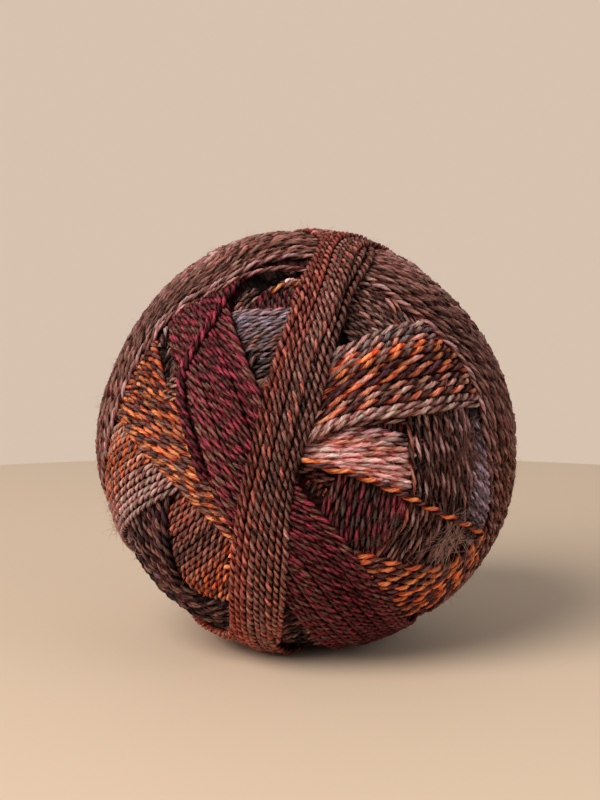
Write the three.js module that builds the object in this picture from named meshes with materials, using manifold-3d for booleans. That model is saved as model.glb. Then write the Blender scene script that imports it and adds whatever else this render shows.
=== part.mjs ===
// A ball of fine two-ply yarn, wound by hand: one solid of its wound form, with the broad
// crossing bands of yarn standing on it, and the loose end of the yarn that lies on top.
// Millimetres, +Z up, the ball's front towards -Y, its foot on the plane z = 0.
import * as THREE from "three";
import { mergeVertices } from "three/addons/utils/BufferGeometryUtils.js";
import Module from "manifold-3d";

const wasm = await Module();
wasm.setup();

// Driving dimensions.
const ballRadius = 50; // out to the outermost turns
const coreDepth = 3; // how far the deepest turns lie below the outermost
const footDepth = 1.3; // how much the ball flattens where it rests
const slopeWidth = 2.6; // across the sloping side of a band
const endSlope = 12; // along the slope by which a band's end dies away
const snapReach = 1; // a vertex this near a band's edge is moved onto it
const yarnDiameter = 1.5;
const meshDetail = 20; // cuts of each edge of the icosahedron that the surface grows from
const tubeSides = 8;
const tubeSteps = 28;

// Broad swellings and flats of the ball's form: where, how far each spreads, how much it rises.
const swellings = [
  { longitude: -80, latitude: -48, spread: 34, rise: 1.2 },
  { longitude: 80, latitude: -48, spread: 34, rise: 1.3 },
  { longitude: 76, latitude: 42, spread: 30, rise: -1.2 },
  { longitude: -88, latitude: 26, spread: 24, rise: -1.2 },
];

// Bands of parallel turns, in the order in which they were wound. The middle line of a band runs
// from one point to another, each as longitude and latitude in degrees, with the front at 0, 0,
// and carries on for some degrees before and after, or all the way round. Width is given at both
// points, bend turns the line to its left, and depth is below the outermost turns.
const bands = [
  band("backLow", [-60, -30], [60, -20], [30, 30], 2.0, {}),
  band("backHigh", [-70, 50], [70, 20], [30, 30], 1.8, {}),
  band("backSteep", [-55, 40], [-75, -40], [30, 30], 1.6, {}),
  band("deepDark", [20, 52], [37, 38], [20, 18], 2.8, { before: 25, after: 30 }),
  band("lavender", [60, 34], [64, -28], [12, 12], 2.8, { before: 20, after: 20 }),
  band("bottomGrey", [-8, -66], [12, -56], [17, 17], 2.2, { before: 40, after: 30 }),
  band("greyBlue", [-26, 32], [-4, 34], [20, 20], 3.0, { before: 25, after: 12 }),
  band("rustLeft", [-45, -32], [-22, -12], [25, 24], 2.4, { before: 20, after: 20 }),
  band("wineRight", [20, -28], [35, -4], [25, 24], 2.9, { before: 50, after: 20 }),
  band("pink", [1, 6], [28, 3], [13, 13], 2.6, { before: 12, after: 18 }),
  band("brownRight", [42, 16], [36, -28], [20, 20], 2.3, { before: 30, after: 40, bend: -8 }),
  band("greyOrange", [5, 21], [51, 26], [19, 18], 1.3, { before: 20, after: 180 }),
  band("orangeLow", [15, -36], [58, -38], [22, 18], 1.8, { before: 20, after: 150, bend: 8 }),
  band("darkLow", [-62, -8], [-36, -56], [22, 24], 1.7, { before: 40, after: 60 }),
  band("mauveLeft", [-68, -24], [-36, 4], [22, 20], 1.5, { before: 120, after: 20 }),
  band("orangeLeft", [-57, 22], [-20, -12], [20, 14], 1.4, { before: 150, after: 40 }),
  band("wineTop", [-42, 44], [-24, 20], [20, 20], 2.0, { before: 40, after: 30 }),
  band("wine", [-26, 19], [14, -46], [25, 27], 1.0, {}),
  band("outer", [75, -1], [-4, 72], [22, 22], 0.3, { bend: 15 }),
  band("main", [-16, -42], [3, 50], [14.2, 14.2], 0, {}),
];

// The loose end's middle line: longitude, latitude and distance from the ball's centre.
const looseEndRoute = [
  { longitude: 3.6, latitude: 2.8, reach: 49.2 },
  { longitude: 7.2, latitude: 1.8, reach: 48.7 },
  { longitude: 10.9, latitude: 0.7, reach: 48.5 },
  { longitude: 14, latitude: -0.4, reach: 48.5 },
  { longitude: 16.8, latitude: -1.5, reach: 48.5 },
  { longitude: 19.7, latitude: -2.8, reach: 48.5 },
  { longitude: 22.7, latitude: -4.3, reach: 48.5 },
  { longitude: 25.8, latitude: -5.8, reach: 48.6 },
  { longitude: 29.1, latitude: -7.4, reach: 48.8 },
  { longitude: 32.5, latitude: -9.1, reach: 48.9 },
  { longitude: 36, latitude: -10.7, reach: 48.9 },
  { longitude: 39.7, latitude: -12.4, reach: 48.9 },
  { longitude: 43.6, latitude: -14.1, reach: 49 },
  { longitude: 47.7, latitude: -15.8, reach: 49.1 },
  { longitude: 51.8, latitude: -17.4, reach: 49.2 },
  { longitude: 56, latitude: -19.2, reach: 49.3 },
  { longitude: 60, latitude: -21, reach: 49.4 },
];

const brownWool = wool("#6b4640");
const orangeWool = wool("#a8622f");

// A wool material of one colour.
function wool(color) {
  return new THREE.MeshStandardMaterial({ color, roughness: 0.95, metalness: 0 });
}

// Unit vector for a longitude and latitude in degrees.
function direction(longitude, latitude) {
  const [east, north] = [longitude, latitude].map(THREE.MathUtils.degToRad);
  return new THREE.Vector3(
    Math.sin(east) * Math.cos(north),
    -Math.cos(east) * Math.cos(north),
    Math.sin(north),
  );
}

// A band with the circle that its middle line follows: pole, height of the circle's plane along
// the pole, and the two directions in that plane from which the angle along it is measured.
function band(name, from, to, width, depth, { before = 360, after = 360, bend = 0 }) {
  const start = direction(...from);
  const end = direction(...to);
  const side = start.clone().cross(end).normalize();
  const middle = start.clone().add(end).normalize();
  const turn = THREE.MathUtils.degToRad(bend);
  const pole = side.multiplyScalar(Math.cos(turn)).addScaledVector(middle, Math.sin(turn));
  const height = pole.dot(start);
  const ahead = start.clone().addScaledVector(pole, -height).normalize();
  const across = pole.clone().cross(ahead);
  const span = (Math.atan2(end.dot(across), end.dot(ahead)) + 2 * Math.PI) % (2 * Math.PI);
  return { name, width, depth, before, after, pole, height, ahead, across, span };
}

// A point's place in a band, in millimetres: how far it lies to the left of the middle line, the
// band's half width there, and how far it lies inside the nearer of the band's ends.
function placeIn(row, point) {
  const offset = (Math.asin(point.dot(row.pole)) - Math.asin(row.height)) * ballRadius;
  const angle = Math.atan2(point.dot(row.across), point.dot(row.ahead));
  const along = (angle + 2 * Math.PI) % (2 * Math.PI);
  const left = 2 * Math.PI - along;
  const share = Math.min(along / row.span, left / (2 * Math.PI - row.span), 1);
  const halfWidth = THREE.MathUtils.lerp(row.width[0], row.width[1], share) / 2;
  const pastStart = THREE.MathUtils.degToRad(row.before) - left;
  const pastEnd = THREE.MathUtils.degToRad(row.after) - (along - row.span);
  return { offset, halfWidth, inEnds: Math.max(pastStart, pastEnd) * ballRadius };
}

// 1 inside the band, 0 outside it, and in between on its sloping sides and ends.
function cover(row, point) {
  const { offset, halfWidth, inEnds } = placeIn(row, point);
  const acrossIt = THREE.MathUtils.smoothstep(halfWidth - Math.abs(offset), -slopeWidth, 0);
  return acrossIt * THREE.MathUtils.smoothstep(inEnds, 0, endSlope);
}

// The point, moved onto the edge of the uppermost band there if it lies near that edge.
function snapped(point) {
  for (const row of bands.toReversed()) {
    const { offset, halfWidth, inEnds } = placeIn(row, point);
    if (inEnds < endSlope / 2) continue;
    const toEdge = halfWidth - Math.abs(offset);
    if (Math.abs(toEdge) < snapReach) {
      const sideways = row.pole.clone().addScaledVector(point, -point.dot(row.pole)).normalize();
      return point.clone().addScaledVector(sideways, Math.sign(offset) * toEdge / ballRadius).normalize();
    }
    if (toEdge > 0) return point;
  }
  return point;
}

// How far out the wound yarn reaches in a direction.
function woundRadius(point) {
  let depth = coreDepth;
  for (const row of bands) depth = THREE.MathUtils.lerp(depth, row.depth, cover(row, point));
  let form = ballRadius;
  for (const row of swellings) {
    const away = THREE.MathUtils.radToDeg(point.angleTo(direction(row.longitude, row.latitude)));
    form += row.rise * Math.exp(-((away / row.spread) ** 2));
  }
  return form - depth;
}

// A closed mesh as a solid that can be cut.
function solidOf(geometry) {
  const bare = new THREE.BufferGeometry();
  bare.setIndex(geometry.index);
  bare.setAttribute("position", geometry.getAttribute("position"));
  const merged = mergeVertices(bare, 1e-4);
  const vertProperties = merged.getAttribute("position").array;
  const triVerts = new Uint32Array(merged.index.array);
  return new wasm.Manifold(new wasm.Mesh({ numProp: 3, vertProperties, triVerts }));
}

// The mesh of a cut solid.
function geometryOf(solid) {
  const { vertProperties, triVerts } = solid.getMesh();
  const geometry = new THREE.BufferGeometry();
  geometry.setAttribute("position", new THREE.BufferAttribute(vertProperties, 3));
  geometry.setIndex(new THREE.BufferAttribute(triVerts, 1));
  geometry.computeVertexNormals();
  return geometry;
}

// The wound ball, its middle at the origin, with its foot cut flat.
function woundBall() {
  const skin = new THREE.IcosahedronGeometry(1, meshDetail);
  const positions = skin.getAttribute("position");
  for (let i = 0; i < positions.count; i += 1) {
    const point = snapped(new THREE.Vector3().fromBufferAttribute(positions, i).normalize());
    point.multiplyScalar(woundRadius(point));
    positions.setXYZ(i, point.x, point.y, point.z);
  }
  const room = 4 * ballRadius;
  const aboveFoot = new THREE.BoxGeometry(room, room, room);
  aboveFoot.translate(0, 0, room / 2 - ballRadius + footDepth);
  return geometryOf(solidOf(skin).intersect(solidOf(aboveFoot)));
}

// The loose end as a round tube along its route.
function looseEnd() {
  const points = looseEndRoute.map(({ longitude, latitude, reach }) =>
    direction(longitude, latitude).multiplyScalar(reach),
  );
  const section = new THREE.Shape();
  section.absarc(0, 0, yarnDiameter / 2, 0, 2 * Math.PI, false);
  return new THREE.ExtrudeGeometry(section, {
    steps: tubeSteps,
    curveSegments: tubeSides / 2,
    extrudePath: new THREE.CatmullRomCurve3(points, false, "centripetal"),
  });
}

const ball = new THREE.Mesh(woundBall(), brownWool);
ball.name = "ball";
const end = new THREE.Mesh(looseEnd(), orangeWool);
end.name = "loose_end";

const yarnBall = new THREE.Group();
yarnBall.name = "yarn_ball";
yarnBall.add(ball, end);
yarnBall.position.z = ballRadius - footDepth;

export default yarnBall;
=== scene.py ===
# A ball of fine two-ply yarn: every visible turn is a real twisted strand, laid band by band.
import math
import bpy
import numpy as np
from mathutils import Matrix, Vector


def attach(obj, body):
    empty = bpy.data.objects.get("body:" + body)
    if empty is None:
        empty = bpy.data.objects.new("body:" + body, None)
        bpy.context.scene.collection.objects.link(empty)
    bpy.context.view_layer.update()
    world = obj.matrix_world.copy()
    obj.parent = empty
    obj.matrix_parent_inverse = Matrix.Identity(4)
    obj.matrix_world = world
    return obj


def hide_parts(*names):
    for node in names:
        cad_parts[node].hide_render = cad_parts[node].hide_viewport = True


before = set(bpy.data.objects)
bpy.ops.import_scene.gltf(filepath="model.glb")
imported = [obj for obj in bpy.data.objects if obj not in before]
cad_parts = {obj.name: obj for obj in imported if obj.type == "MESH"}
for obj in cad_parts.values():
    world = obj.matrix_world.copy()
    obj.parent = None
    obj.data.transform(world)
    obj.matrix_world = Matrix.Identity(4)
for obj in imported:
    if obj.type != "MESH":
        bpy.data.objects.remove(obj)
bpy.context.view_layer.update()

dice = np.random.default_rng(7)  # one seeded source for all that is uneven

# sizes, in millimetres; the ball's middle is the origin until a mesh is written
ballForm = {
    "radius": 50.0,      # out to the outermost turns
    "foot": 1.3,         # how far the ball flattens where it rests
    "coreDepth": 5.8,    # how deep the dark inside begins
    "gridCells": 256,    # cells along an edge of the cube that maps the ball's surface
    "settleStep": 0.25,  # between the points of a strand while it is laid
}
yarn = {
    "halfWidth": 0.8,      # of a strand where its plies lie side by side
    "plyHeight": 0.52,     # from the middle of a ply to its face
    "plyShoulder": 0.62,   # how far out that face lies, as a share of the half width
    "groove": 0.33,        # how far out the groove between the plies lies
    "laidWidth": 0.64,     # half the room that a strand takes where others cross it
    "squash": 0.6,         # the share of a strand's width that another can't sink into
    "sides": 8,
    "turn": 4.8,           # length in which the two plies go round once
    "turnSpread": 0.1,     # how much that differs from strand to strand, as a share
    "drift": (1.1, 16, 60),   # how far the plies turn ahead or behind, in radians, over what
                              # length, and from how many points on
    "swell": (0.06, 5, 30),   # thick and thin, as a share, over what length, from how many points
    "lumps": 0.08,         # the same, for each side of a ply
    "offPlace": 0.12,      # how far a strand lies off its place, as a share of a strand
    "wander": 0.13,        # how far a strand strays sideways
    "wanderLength": 14,
}
middle = Vector((0, 0, ballForm["radius"] - ballForm["foot"]))


def direction(longitude, latitude):
    # the front of the ball is at 0, 0, and longitude grows to the right
    east, north = math.radians(longitude), math.radians(latitude)
    return np.array([
        math.sin(east) * math.cos(north),
        -math.cos(east) * math.cos(north),
        math.sin(north),
    ])


def unit(v):
    return v / np.linalg.norm(v, axis=-1, keepdims=True)


def awayFrom(d, longitude, latitude):
    return np.degrees(np.arccos(np.clip(d @ direction(longitude, latitude), -1, 1)))


def toMetres(points):
    return (np.asarray(points) + np.array(middle)) / 1000


def addToScene(name, data):
    made = bpy.data.objects.new(name, data)
    bpy.context.scene.collection.objects.link(made)
    return made


def newMaterial(name, roughness, specular):
    material = bpy.data.materials.new(name)
    material.use_nodes = True
    shader = material.node_tree.nodes["Principled BSDF"]
    shader.inputs["Roughness"].default_value = roughness
    shader.inputs["Specular IOR Level"].default_value = specular
    return material, shader


# camera: angles in degrees, the distance from the ball's middle in millimetres
view = {"elevation": 9.0, "distance": 500.0, "lens": 94.5, "lookUp": 1.12, "lookLeft": 0.16}


def makeCamera():
    up = math.radians(view["elevation"])
    away = Vector((0, -math.cos(up), math.sin(up)))
    data = bpy.data.cameras.new("camera")
    data.lens = view["lens"]
    data.sensor_width = 36
    data.clip_start, data.clip_end = 0.05, 20
    camera = addToScene("camera", data)
    camera.location = (middle + away * view["distance"]) / 1000
    tilt = math.radians(90 - view["elevation"] + view["lookUp"])
    camera.rotation_euler = (tilt, 0, math.radians(view["lookLeft"]))
    bpy.context.scene.camera = camera


makeCamera()
print("camera placed")

# wool colours, as red, green and blue from 0 to 255
wool = {
    "rust": (162, 98, 82),
    "brick": (138, 76, 63),
    "brown": (118, 80, 68),
    "umber": (138, 98, 86),
    "cocoa": (88, 60, 52),
    "taupe": (148, 110, 98),
    "stone": (182, 152, 138),
    "orange": (194, 110, 68),
    "amber": (206, 138, 90),
    "copper": (170, 96, 68),
    "plum": (88, 54, 54),
    "ink": (38, 28, 31),
    "coal": (72, 56, 50),
    "moss": (98, 67, 57),
    "crimson": (146, 57, 71),
    "wine": (114, 52, 56),
    "port": (82, 42, 40),
    "mauve": (168, 132, 128),
    "lilac": (164, 146, 156),
    "slate": (124, 108, 108),
    "rose": (206, 154, 146),
    "blush": (218, 180, 170),
    "peach": (206, 140, 110),
}


def linear(name):
    c = np.array(wool[name]) / 255
    return np.where(c <= 0.04045, c / 12.92, ((c + 0.055) / 1.055) ** 2.4)


# bands of turns, the uppermost first
# route: rows of longitude, latitude and width of the band there, along its middle, or along its
# left edge (anchor 0) or right edge (anchor 1). Rings go on round the back opposite their route,
# loops are given all the way round, the others carry on for some degrees before and after.
# depth is below the outermost turns, and edgeDepth how much deeper the right edge lies and over
# what share of the band. girth is the strand's thickness against the usual, turn the length in
# which its plies go round once, wander how far it strays sideways, and fuzz how hairy it is.
# shades: place across the band from its left edge (0) to its right edge (1), then the colours of
# the two plies. tones: how strong they are, as one number or as rows of latitude and strength,
# partly the yarn's own colour and partly painted light and shade for how light falls on the ball.
# fleck: colour, share and length of the bits of another colour. Hollows paint no shade on a lit
# band.
bands = {
    "mainUpper": {
        "piece": "mainTurns", "strands": 7, "depth": 0.0, "ring": True, "anchor": 0,
        "route": [(-46.8, -68.8, 9.5), (-36.5, -56.6, 9.6), (-29.5, -45.5, 10),
                  (-22, -25.3, 10), (-17.5, -6.4, 9.4), (-14.2, 6.5, 8.8), (-11.5, 19.1, 8.6),
                  (-8.7, 32.5, 8.6), (-3.4, 47.9, 9.2), (1.8, 62, 9.6), (8, 72, 9.6),
                  (34, 81, 9.6)],
        "tones": [(-60, 1.45), (-30, 1.0), (0, 0.52), (20, 0.66), (40, 0.95), (60, 0.88)],
        "shades": [(0, "rust", "brick"), (0.3, "rust", "brick"), (0.55, "brown", "umber"),
                   (0.8, "taupe", "brown"), (1, "rust", "brown")],
        "fleck": ("rust", 0.16, 8),
    },
    "mainLower": {
        "piece": "mainTurns", "strands": 9, "depth": 0.5, "ring": True, "anchor": 1,
        "route": [(-16, -64, 12.5), (-8.2, -45.7, 13), (-5, -22.8, 12.2), (-3, -3.3, 11.4),
                  (-0.3, 6.8, 11.2), (4.2, 19.3, 11.6), (8.4, 32.5, 12.2), (13, 41.2, 12.6),
                  (19, 50, 12.8), (36, 61, 13.2), (62, 68.5, 13.6)],
        "tones": [(-60, 1.7), (-30, 1.3), (0, 0.54), (20, 0.6), (40, 0.74), (60, 0.8)],
        "shades": [(0, "brown", "brick"), (0.35, "rust", "brown"), (0.6, "taupe", "umber"),
                   (0.93, "umber", "brown"), (1, "umber", "brick")],
        "fleck": ("rose", 0.08, 5),
    },
    "outer": {
        "piece": "outerTurns", "strands": 13, "depth": 0.1, "loop": True, "anchor": 1,
        "girth": 1.06, "turn": 7.5, "wander": 0.24, "edgeDepth": (1.2, 0.5),
        "route": [(-80, -10, 22), (-73, -2, 22), (-69, 7.6, 22), (-65.5, 17, 22), (-64, 27, 22),
                  (-62.5, 36, 22), (-57, 44.5, 22), (-48, 50.5, 22), (-38, 57, 23),
                  (-28, 64, 25), (-10, 68.5, 27), (12, 69, 27), (26, 64, 26), (33.5, 56, 25),
                  (42, 46, 25), (50, 36.5, 25), (56, 27, 24), (58, 18, 24), (57.5, 8, 24),
                  (59.5, -4, 23), (64, -15, 23), (70, -25, 22), (74.5, -34, 22), (74.5, -42, 22),
                  (75, -50, 22), (89, -60, 22), (120, -67, 22), (170, -64, 22),
                  (-146, -50, 22), (-114, -36, 22), (-93, -23, 22)],
        "shades": [(0, "mauve", "umber"), (0.3, "taupe", "umber"), (0.6, "umber", "brown"),
                   (0.85, "umber", "brown"), (1, "mauve", "taupe")],
        "tones": [(-50, 0.95), (-15, 0.88), (15, 0.8), (38, 0.66), (52, 0.74), (66, 0.95)],
    },
    "singleTurn": {
        "piece": "outerTurns", "strands": 1, "depth": 0.8, "before": 6, "after": 20,
        "route": [(-63.7, 31, 1), (-62.3, 35, 1), (-59.5, 41, 1), (-54, 47.5, 1),
                  (-49, 50.8, 1), (-41.3, 53.8, 1), (-34.3, 57.1, 1), (-25.4, 60.2, 1),
                  (-15.1, 62.4, 1), (-3.5, 63, 1), (8, 62, 1)],
        "shades": [(0, "umber", "port"), (1, "mauve", "umber")],
        "girth": 0.86, "turn": 6,
    },
    "crossingPair": {
        "piece": "wineTurns", "strands": 2, "depth": 0.2, "before": 8, "after": 14,
        "route": [(-36.6, 61, 2.4), (-34.4, 53.3, 2.6), (-34.2, 47.6, 2.6), (-34.4, 41.5, 2.6),
                  (-35.3, 37, 2.6), (-37.3, 29.8, 2.5), (-38, 26.4, 2.4), (-37.4, 22.5, 2.4),
                  (-36.2, 18.4, 2.4), (-32.5, 11, 2.4)],
        "shades": [(0, "crimson", "port"), (1, "wine", "port")],
        "tones": 0.68, "fleck": ("crimson", 0.3, 9),
    },
    "creamTurns": {
        "piece": "wineTurns", "strands": 4, "depth": 1.1, "before": 0.5, "after": 0.5,
        "route": [(-43, 20.6, 6), (-40, 20.6, 6), (-37.4, 20.6, 6)], "girth": 0.8,
        "shades": [(0, "stone", "taupe"), (1, "amber", "taupe")], "lit": True,
        "tones": 0.72,
    },
    "wine": {
        "piece": "wineTurns", "strands": 18, "depth": 1.0, "ring": True, "girth": 0.92,
        "turn": 5.6,
        "route": [(-43, 42.3, 16.2), (-31.5, 30, 17.6), (-24.5, 20, 18.6), (-11.5, -7.7, 19.2),
                  (0.5, -23.7, 20), (7, -34, 20.6), (22.9, -51.5, 20.8), (54, -65.4, 19)],
        "tones": [(-60, 0.95), (-10, 0.96), (10, 1.12), (25, 0.88), (40, 0.9)],
        "shades": [(0, "wine", "brown"), (0.3, "wine", "port"), (0.6, "wine", "moss"),
                   (1, "wine", "brown")],
        "fleck": ("crimson", 0.2, 2.5),
    },
    "greyStrand": {
        "piece": "wineTurns", "strands": 1, "depth": 1.0, "before": 8, "after": 2,
        "route": [(-61, 46, 1), (-58.7, 41.2, 1), (-56.6, 37.3, 1), (-54.5, 33.3, 1)],
        "shades": [(0, "slate", "moss"), (1, "stone", "moss")], "lit": True,
    },
    "wineTop": {
        "piece": "wineTurns", "strands": 13, "depth": 1.9, "before": 30, "after": 30,
        "turn": 5.4, "anchor": 1, "tones": 0.78,
        "route": [(-66, 43, 16), (-57, 38, 16.5), (-50, 33.5, 16.5), (-44.5, 28.5, 16),
                  (-40, 23, 15)],
        "shades": [(0, "wine", "brown"), (0.5, "wine", "moss"), (0.8, "brown", "coal"),
                   (1, "coal", "port")],
        "fleck": ("crimson", 0.2, 4),
    },
    "orangeLeft": {
        "piece": "leftTurns", "strands": 13, "depth": 1.4, "before": 120, "after": 10, "anchor": 0,
        "turn": 6.4, "girth": 1.1, "tones": [(-10, 0.8), (60, 0.76)],
        "route": [(-59.3, 32.8, 20.7), (-50.7, 28.1, 19.9),
                  (-45, 22.7, 17.8), (-40.4, 18.5, 16.3), (-36.3, 14.3, 14.8), (-31.9, 9.5, 13.1),
                  (-28.9, 6, 11.7), (-24, 0, 10.2), (-19, -5.5, 9)],
        "shades": [(0, "copper", "umber"), (0.15, "orange", "plum"), (0.3, "copper", "brown"),
                   (0.4, "amber", "umber"), (0.5, "copper", "plum"), (0.65, "orange", "umber"),
                   (0.8, "amber", "plum"), (1, "copper", "umber")],
        "fleck": ("amber", 0.2, 3),
    },
    "mauveLeft": {
        "piece": "leftTurns", "strands": 15, "depth": 1.4, "before": 110, "after": 20, "anchor": 1,
        "route": [(-92, -34, 22), (-79, -27, 22), (-68.8, -22.3, 22.5), (-56.1, -15.9, 23),
                  (-47, -11.3, 23), (-35, -5.6, 21.5)],
        "shades": [(0, "taupe", "stone"), (0.25, "orange", "taupe"), (0.5, "orange", "umber"),
                   (0.68, "stone", "taupe"), (0.85, "stone", "mauve"), (1, "stone", "mauve")],
        "fleck": ("orange", 0.16, 4), "tones": [(-40, 1.12), (-22, 1.1), (-8, 0.88)],
    },
    "darkLow": {
        "piece": "leftTurns", "strands": 11, "depth": 1.7, "before": 40, "after": 24, "anchor": 0,
        "girth": 1.22, "turn": 6, "wander": 0.26, "tones": [(-60, 0.74), (0, 0.84)],
        "route": [(-36, -3, 20), (-41, -11.9, 20), (-43.2, -20.3, 20), (-44.8, -29, 20),
                  (-44.8, -36, 20), (-40, -41, 20), (-33, -42, 20), (-22, -43, 20)],
        "shades": [(0, "ink", "cocoa"), (0.3, "plum", "umber"), (0.5, "ink", "moss"),
                   (0.7, "coal", "taupe"), (0.85, "ink", "moss"), (1, "coal", "umber")],
        "fleck": ("mauve", 0.08, 4),
    },
    "orangeLow": {
        "piece": "rightTurns", "strands": 10, "depth": 1.4, "before": 20, "after": 130,
        "girth": 1.2, "anchor": 0, "turn": 6, "tones": 0.97,
        "route": [(4, -17.5, 19), (12.4, -20.6, 19), (24, -24.2, 19), (31.2, -26.6, 19),
                  (39.3, -28.4, 19), (48.6, -29.3, 18), (56, -27.6, 16), (63.5, -23.5, 14)],
        "shades": [(0, "orange", "brown"), (0.3, "amber", "plum"), (0.6, "orange", "plum"),
                   (1, "copper", "cocoa")],
        "fleck": ("amber", 0.2, 10),
    },
    "greyOrange": {
        "piece": "rightTurns", "strands": 13, "depth": 1.2, "before": 14, "after": 150,
        "girth": 1.2, "turn": 7.6, "anchor": 1, "tones": 0.84,
        "route": [(-1, 7.6, 18.5), (3.6, 10, 17.6), (7.6, 11.7, 17.2), (11.7, 13, 17.4),
                  (15.8, 13.8, 18.5), (22, 14.2, 20.5), (30.7, 14.4, 22.3), (43.3, 14.8, 23.2),
                  (52.1, 14.7, 23), (62, 13.5, 21.5)],
        "shades": [(0, "stone", "taupe"), (0.12, "stone", "slate"), (0.22, "orange", "taupe"),
                   (0.4, "amber", "plum"), (0.58, "copper", "plum"), (0.66, "orange", "plum"),
                   (0.72, "stone", "moss"), (0.8, "orange", "plum"), (0.86, "stone", "taupe"),
                   (1, "stone", "mauve")],
        "fleck": ("rose", 0.12, 4),
    },
    "brownRight": {
        "piece": "rightTurns", "strands": 12, "depth": 2.2, "before": 30, "after": 40,
        "wander": 0.5, "turn": 8, "girth": 0.88, "fuzz": 1.4, "tones": 0.72,
        "route": [(46, 30, 20), (42.4, 18, 20), (40.7, 7.1, 20), (41, -4, 20),
                  (40, -15.5, 20.5), (35, -27.5, 21), (29.4, -38.7, 22)],
        "shades": [(0, "mauve", "cocoa"), (0.3, "taupe", "coal"), (0.6, "umber", "cocoa"),
                   (0.85, "taupe", "coal"), (1, "copper", "moss")],
        "fleck": ("mauve", 0.24, 5),
    },
    "between": {
        "piece": "rightTurns", "strands": 2, "depth": 1.9, "before": 10, "after": 8,
        "turn": 7, "anchor": 1, "girth": 0.9,
        "route": [(2.1, 8.6, 2.2), (5, 10.2, 2.3), (8.5, 11.5, 2.4), (12.3, 12.3, 2.5),
                  (16.8, 12.7, 2.6), (21.7, 12.8, 2.6), (26.1, 12.6, 2.6), (30.4, 12.2, 2.4)],
        "shades": [(0, "umber", "moss"), (1, "taupe", "moss")],
        "tones": 0.8,
    },
    "pink": {
        "piece": "rightTurns", "strands": 9, "depth": 2.2, "before": 10, "after": 0.3,
        "girth": 1.2, "turn": 10, "tones": 0.7, "anchor": 1,
        "route": [(0, 3.9, 8.6), (3.6, 2.9, 9.2), (7.2, 1.8, 9.8), (10.9, 0.7, 10.4),
                  (16.8, -1.5, 12), (22.7, -4.3, 13.2), (27.4, -6.6, 13.8)],
        "shades": [(0, "mauve", "rose"), (0.2, "rose", "blush"), (0.35, "peach", "rose"),
                   (0.55, "rose", "blush"), (0.8, "rose", "blush"), (1, "peach", "rose")],
    },
    "wineRight": {
        "piece": "rightTurns", "strands": 20, "depth": 2.8, "before": 40, "after": 30,
        "wander": 0.34, "turn": 7, "girth": 0.9, "fuzz": 1.6,
        "route": [(5.1, -50, 23), (8.5, -38, 23), (13, -24, 23), (17.5, -11.5, 22.8),
                  (24, 0.3, 22.2)],
        "shades": [(0, "wine", "moss"), (0.35, "port", "coal"), (0.7, "wine", "coal"),
                   (1, "brown", "coal")],
        "fleck": ("crimson", 0.2, 4),
    },
    "rustLeft": {
        "piece": "leftTurns", "strands": 21, "depth": 2.5, "before": 20, "after": 20,
        "girth": 0.92, "turn": 5.4,
        "route": [(-60, -42, 27), (-45, -30.5, 28), (-35, -24.6, 28), (-24.5, -17, 26)],
        "shades": [(0, "copper", "brown"), (0.25, "rust", "umber"), (0.42, "brown", "cocoa"),
                   (0.55, "umber", "brown"), (0.7, "copper", "umber"), (0.85, "orange", "brick"),
                   (1, "amber", "umber")],
        "fleck": ("rust", 0.14, 4),
    },
    "orangeBit": {
        "piece": "deepTurns", "strands": 1, "depth": 2.6, "before": 1, "after": 12,
        "route": [(-16.8, 55.4, 1), (-14.1, 56.5, 1), (-11.4, 57.5, 1), (-5.8, 58.5, 1)],
        "shades": [(0, "amber", "umber"), (1, "amber", "umber")], "girth": 1.1, "lit": True,
        "tones": 0.62,
    },
    "creamEnd": {
        "piece": "deepTurns", "strands": 1, "depth": 2.0, "before": 1, "after": 12,
        "route": [(-10.5, 60.6, 1), (-7.9, 61.1, 1), (-3.9, 60.7, 1)],
        "shades": [(0, "stone", "taupe"), (1, "stone", "taupe")], "girth": 0.9, "lit": True,
    },
    "greyBlue": {
        "piece": "deepTurns", "strands": 17, "depth": 2.3, "before": 4, "after": 12,
        "girth": 0.86, "turn": 4.8,
        "route": [(-28, 36, 18.5), (-14.7, 36.6, 18.5), (-5, 37, 18.5)],
        "shades": [(0, "mauve", "slate"), (0.15, "lilac", "slate"), (0.5, "slate", "umber"),
                   (0.8, "slate", "coal"), (1, "coal", "moss")], "tones": 0.8,
    },
    "wineSteep": {
        "piece": "wineTurns", "strands": 11, "depth": 2.6, "before": 10, "after": 14,
        "route": [(-16.4, 36.3, 13), (-14.5, 42.4, 13), (-12.5, 49, 13), (-8.6, 56, 12),
                  (-1, 61, 11)],
        "shades": [(0, "port", "wine"), (0.4, "wine", "coal"), (0.7, "wine", "brown"),
                   (1, "rust", "brown")],
        "fleck": ("crimson", 0.16, 4), "tones": [(40, 0.85), (52, 0.6)],
    },
    "bottomGrey": {
        "piece": "deepTurns", "strands": 12, "depth": 2.2, "before": 40, "after": 30,
        "route": [(-22, -74, 17), (-3, -60, 18), (7, -47, 18)],
        "shades": [(0, "coal", "slate"), (0.5, "slate", "taupe"), (1, "coal", "brown")],
    },
    "lavender": {
        "piece": "deepTurns", "strands": 12, "depth": 1.7, "before": 20, "after": 20,
        "wander": 0.26,
        "route": [(56.5, 24, 14), (56.5, 8, 14), (58, -3, 15), (61, -12, 16), (66, -21, 16)],
        "shades": [(0, "lilac", "mauve"), (0.6, "lilac", "slate"), (1, "slate", "coal")],
        "tones": [(-30, 0.5), (-17, 0.75), (-9, 1.15), (-2, 1.2), (3, 0.6), (7, 0.25), (14, 0.12)],
        "fleck": ("blush", 0.12, 2),
    },
    "deepDark": {
        "piece": "deepTurns", "strands": 16, "depth": 2.4, "before": 4, "after": 30,
        "wander": 0.26,
        "route": [(30, 70, 25), (27.5, 54, 25), (32, 38, 24)],
        "shades": [(0, "brown", "cocoa"), (0.3, "taupe", "cocoa"), (0.5, "taupe", "cocoa"),
                   (1, "coal", "brown")],
        "tones": 0.8, "fleck": ("rose", 0.08, 4),
    },
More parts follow.
